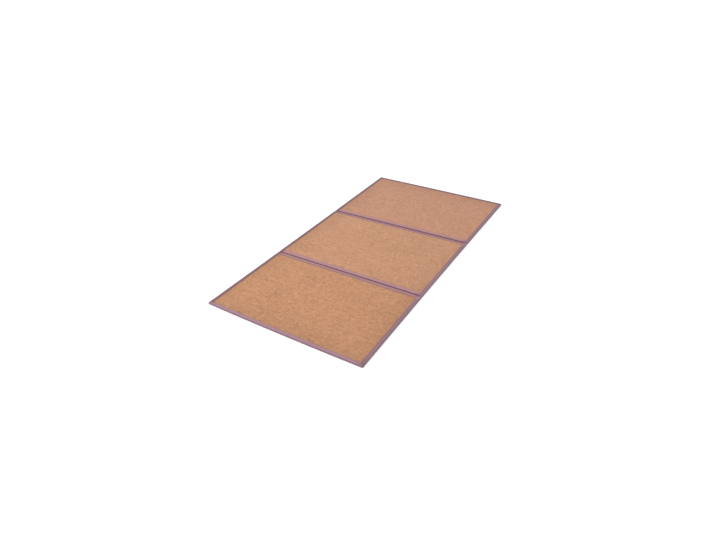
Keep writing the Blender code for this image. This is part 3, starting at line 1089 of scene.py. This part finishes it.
def make_tape(name, side, is_long, material, seed):
    """A tape along one side of the mat: sewn, puckered, and sunk where it crosses a fold."""
    sizes = bpy.context.scene.mat_sizes
    section = TapeSection()
    half_side = HALF_LENGTH if is_long else HALF_WIDTH
    roll_shade = LONG_ROLL_SHADE if is_long else SHORT_ROLL_SHADE
    along = tape_stations(half_side, furrow_stations(reach=1.6, count=17) if is_long else ())

    def place(index, station, outer):
        inset, height = section.face(index, outer)
        upper_share = np.clip((height - CLOTH) / (CLOTH_TOP - 2 * CLOTH), 0.0, 1.0)
        from_hem = section.from_hem[index]
        from_seam = from_hem - sizes.stitch_inset
        from_corner = half_side - np.abs(station)
        calm = 1.0 - smooth((CORNER_CALM - from_corner) / CALM_RAMP)

        gather = sizes.pucker * wander(station, TAPE_GATHER.length, seed)
        gather = gather * hump(from_seam, TAPE_GATHER.reach)
        puff = smooth(from_seam / PUFF_FROM_SEAM) * smooth(inset / PUFF_FROM_EDGE)
        puff = puff * (PUFF_HEIGHT + wave(TAPE_PUFF, station, seed))
        lift = calm * gather + puff - band(GROOVE, from_seam)
        edge_sway = wave(TAPE_HEM_SWAY, station, seed) * np.exp(-from_hem / TAPE_HEM_SWAY_REACH)
        inset = inset + edge_sway * calm
        height = height + lift * upper_share * section.upper[index]
        if is_long:
            beside = (np.abs(station - fold_values(station, "crease"))
                      / fold_values(station, "half_furrow"))
            bulge = band(TAPE_BULGE, beside - BULGE_PLACE)
            height = height + (bulge - tape_sink(station)) * upper_share

        # Painted shade on the rolled edge, along the seam and the hem, and darker toward each corner
        shade = np.maximum.reduce([
            band(roll_shade, inset) * np.where(height > ROLL_FOOT, 1.0, ROLL_FOOT_SHARE),
            band(TAPE_SEAM_SHADE, from_seam), rim(TAPE_HEM_SHADE, from_hem),
            band(TAPE_CORNER_TONE, from_corner)])
        # Painted shade where a side tape passes over a crease
        if is_long:
            inner = smooth((inset - INNER_FROM) / INNER_RAMP)
            shade = np.maximum(shade, inner * band(TAPE_CREASE_SHADE, beside))
            ribbon_hem = fold_values(station, "crease") - fold_values(station, "front_reach")
            # A painted highlight, as shade below zero, where the tape steps over the ribbon's hem
            pucker = inner * hump(station - ribbon_hem, TAPE_PUCKER_HIGHLIGHT.width)
            shade = shade * (1 - pucker) - TAPE_PUCKER_HIGHLIGHT.strength * pucker
        points = along_edge(is_long, side, mitred(station, half_side, inset), inset, height)
        return points, shade, np.stack([station, section.width[index]], axis=-1)

    tape = bent_slab(f"edge_tape_{name}", np.arange(len(section.inset)), along, place)
    dress(tape, material)
    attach(tape, BODY)
    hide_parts(f"tape_{name}")
    return tape, section


def make_stitches(name, lines, material, seed):
    """Stitches along one or more lines, each an array of points on the cloth."""
    sizes = bpy.context.scene.mat_sizes
    curve = bpy.data.curves.new(name, "CURVE")
    curve.dimensions = "3D"
    for line in lines:
        spline = curve.splines.new("POLY")
        spline.points.add(len(line) - 1)
        spline.points.foreach_set("co", np.c_[line, np.ones(len(line))].astype(np.float32).ravel())
    guide = add_object(f"{name}_line", curve)
    mesh = grown_mesh(guide, bpy.data.node_groups["Stitches"], {
        "Stitch Pitch": sizes.stitch_pitch, "Stitch Width": sizes.stitch_width,
        "Seed": seed, "Material": material})
    bpy.data.objects.remove(guide)
    bpy.data.curves.remove(curve)
    stitches = add_object(name, mesh)
    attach(stitches, BODY)
    return stitches


class TATAMI_OT_stage(bpy.types.Operator):
    """Make the pale floor, the soft lights and the camera"""

    bl_idname = "tatami.make_stage"
    bl_label = "Stage"

    def execute(self, context):
        """Build the stage."""
        make_camera()
        make_floor()
        make_lights()
        return {"FINISHED"}


def make_camera():
    """The camera at the photo's place and angle."""
    camera = add_object("camera", bpy.data.cameras.new("camera"))
    camera.data.sensor_width = SENSOR_WIDTH
    camera.data.lens = FOCAL_PIXELS / PHOTO_WIDTH * SENSOR_WIDTH
    camera.data.shift_x = -AXIS_RIGHT_OF_MIDDLE / PHOTO_WIDTH
    camera.data.clip_end = FARTHEST_VIEW
    turn = Matrix.Rotation(CAMERA_AZIMUTH, 4, "Z")
    tilt = Matrix.Rotation(math.pi / 2 - CAMERA_ELEVATION, 4, "X")
    roll = Matrix.Rotation(CAMERA_ROLL, 4, "Z")
    camera.matrix_world = Matrix.Translation(CAMERA_PLACE) @ turn @ tilt @ roll
    bpy.context.scene.camera = camera


def make_floor():
    """A wide, plain, nearly white floor just under the mat."""
    mesh = bpy.data.meshes.new("floor")
    shape = bmesh.new()
    bmesh.ops.create_grid(shape, x_segments=1, y_segments=1, size=FLOOR_REACH)
    bmesh.ops.translate(shape, verts=shape.verts[:], vec=(0.0, 0.0, -FLOOR_DROP))
    shape.to_mesh(mesh)
    shape.free()
    floor = add_object("floor", mesh)
    material, _, shader = new_material("floor", roughness=0.9, sheen=0.0, specular=0.0)
    shader.inputs["Base Color"].default_value = opaque(FLOOR_TONE)
    dress(floor, material)


def make_lights():
    """An even pale surround and one large soft lamp."""
    scene = bpy.context.scene
    scene.view_settings.view_transform = "Standard"
    world = bpy.data.worlds.new("surround")
    world.use_nodes = True
    background = world.node_tree.nodes["Background"]
    background.inputs["Color"].default_value = (1.0, 1.0, 1.0, 1.0)
    background.inputs["Strength"].default_value = SURROUND_STRENGTH
    scene.world = world
    lamp = add_object("soft_lamp", bpy.data.lights.new("soft_lamp", "AREA"))
    lamp.data.shape = "SQUARE"
    lamp.data.size = LAMP_SIZE
    lamp.data.energy = LAMP_POWER
    lamp.location = LAMP_PLACE
    lamp.rotation_euler = Vector(lamp.location).to_track_quat("Z", "Y").to_euler()


class TATAMI_OT_rush(bpy.types.Operator):
    """Make the three rush panels"""

    bl_idname = "tatami.make_rush"
    bl_label = "Rush panels"

    def execute(self, context):
        """Build the panels from front to back."""
        colours = context.scene.mat_colours
        rush_rib_tree()
        rush_stems_group()
        near, far = FOLDS
        make_rush_panel("rush_near", "panel_near", stations_at_outer_end(-1),
                        stations_beside_fold(near, 1), colours.rush_near, RUSH_SEED)
        make_rush_panel("rush_middle", "panel_middle", stations_beside_fold(near, -1),
                        stations_beside_fold(far, 1), colours.rush_middle, RUSH_SEED + 1)
        make_rush_panel("rush_far", "panel_far", stations_beside_fold(far, -1),
                        stations_at_outer_end(1), colours.rush_far, RUSH_SEED + 2)
        return {"FINISHED"}


class TATAMI_OT_ribbons(bpy.types.Operator):
    """Make the ribbons above and below the two folds, with their stitches"""

    bl_idname = "tatami.make_ribbons"
    bl_label = "Fold ribbons"

    def execute(self, context):
        """Build each fold's ribbons and stitches."""
        sizes = context.scene.mat_sizes
        for number, fold in enumerate(FOLDS):
            top = make_top_ribbon(fold, bpy.data.materials["cloth_ribbon"], RIBBON_SEED + number)
            under = make_under_ribbon(fold, bpy.data.materials["cloth_ribbon"])
            end = HALF_WIDTH - TAPE_WIDTH - FOLD_ROW_STOP
            x = spread(-end, end, SEAM_STEP)
            lines = []
            for y in (fold.crease - fold.front_reach + sizes.stitch_inset,
                      fold.crease + fold.back_reach - sizes.stitch_inset):
                line_y = np.full_like(x, y)
                lines.append(to_outline(x, line_y, ribbon_top(x, line_y) + STITCH_LIFT))
            stitches = make_stitches(f"stitches_{fold.name}_fold", lines,
                                     bpy.data.materials["sewing_thread"],
                                     FOLD_STITCH_SEED + number)
            unfolded_width(fold)
        return {"FINISHED"}


class TATAMI_OT_tapes(bpy.types.Operator):
    """Make the four tapes folded round the outline, with their stitches"""

    bl_idname = "tatami.make_tapes"
    bl_label = "Edge tapes"

    def execute(self, context):
        """Build each side's tape and stitches."""
        sizes = context.scene.mat_sizes
        for number, (name, side, is_long) in enumerate((
                ("front", -1, False), ("back", 1, False), ("left", -1, True), ("right", 1, True))):
            tape, section = make_tape(name, side, is_long, bpy.data.materials[f"cloth_{name}"],
                                      TAPE_SEED + TAPE_SEED_STEP * number)
            half_side = HALF_LENGTH if is_long else HALF_WIDTH
            inset = TAPE_WIDTH - sizes.stitch_inset
            end = half_side - inset - EDGE_ROW_STOP
            line = spread(-end, end, SEAM_STEP)
            height = np.full_like(line, CLOTH_TOP)
            if is_long:
                line = joined(line, furrow_stations(reach=1.4, count=9))
                height = CLOTH_TOP - tape_sink(line)
            points = along_edge(is_long, side, line, np.full_like(line, inset), height)
            stitches = make_stitches(f"stitches_{name}", [points],
                                     bpy.data.materials["sewing_thread"],
                                     EDGE_STITCH_SEED + number)
        return {"FINISHED"}


class TATAMI_OT_finishes(bpy.types.Operator):
    """Make the shared finishes of the cloth and the thread"""

    bl_idname = "tatami.make_finishes"
    bl_label = "Finishes"

    def execute(self, context):
        """Build the shared node groups and the cloth's materials."""
        colours = context.scene.mat_colours
        fading_group()
        cloth_threads_group()
        stitch_tree()
        # Painted shade: lit and shaded copies of the one cloth, one for each side
        for place, tone in CLOTH_SIDE_SHADES.items():
            colour = tuple(channel * tone for channel in colours.cloth)
            cloth_material(f"cloth_{place}", colour, colours.cloth_shade)
        cloth_material("cloth_ribbon", colours.ribbon, colours.cloth_shade)
        thread_material("sewing_thread", colours.thread)
        return {"FINISHED"}


class TATAMI_PT_mat(bpy.types.Panel):
    """Sidebar panel with the mat's steps in order"""

    bl_idname = "TATAMI_PT_mat"
    bl_label = "Tatami mat"
    bl_space_type = "VIEW_3D"
    bl_region_type = "UI"
    bl_category = "Mat"

    def draw(self, context):
        """List the steps, then the sizes and colours."""
        for step in STEPS:
            self.layout.operator(step.bl_idname)
        for group in (context.scene.mat_sizes, context.scene.mat_colours):
            for name in group.__annotations__:
                self.layout.prop(group, name)


STEPS = (TATAMI_OT_stage, TATAMI_OT_finishes, TATAMI_OT_rush, TATAMI_OT_ribbons, TATAMI_OT_tapes)
CLASSES = (MatSizes, MatColours, *STEPS, TATAMI_PT_mat)


def register():
    """Register the classes and the two property groups."""
    for each in CLASSES:
        bpy.utils.register_class(each)
    bpy.types.Scene.mat_sizes = bpy.props.PointerProperty(type=MatSizes)
    bpy.types.Scene.mat_colours = bpy.props.PointerProperty(type=MatColours)


def unregister():
    """Take the classes and the property groups away again."""
    del bpy.types.Scene.mat_colours
    del bpy.types.Scene.mat_sizes
    for each in reversed(CLASSES):
        bpy.utils.unregister_class(each)


def main():
    """Build the whole scene, one step after another."""
    register()
    bpy.ops.tatami.make_stage()
    bpy.ops.tatami.make_finishes()
    bpy.ops.tatami.make_rush()
    bpy.ops.tatami.make_ribbons()
    bpy.ops.tatami.make_tapes()


if __name__ == "__main__":
    main()
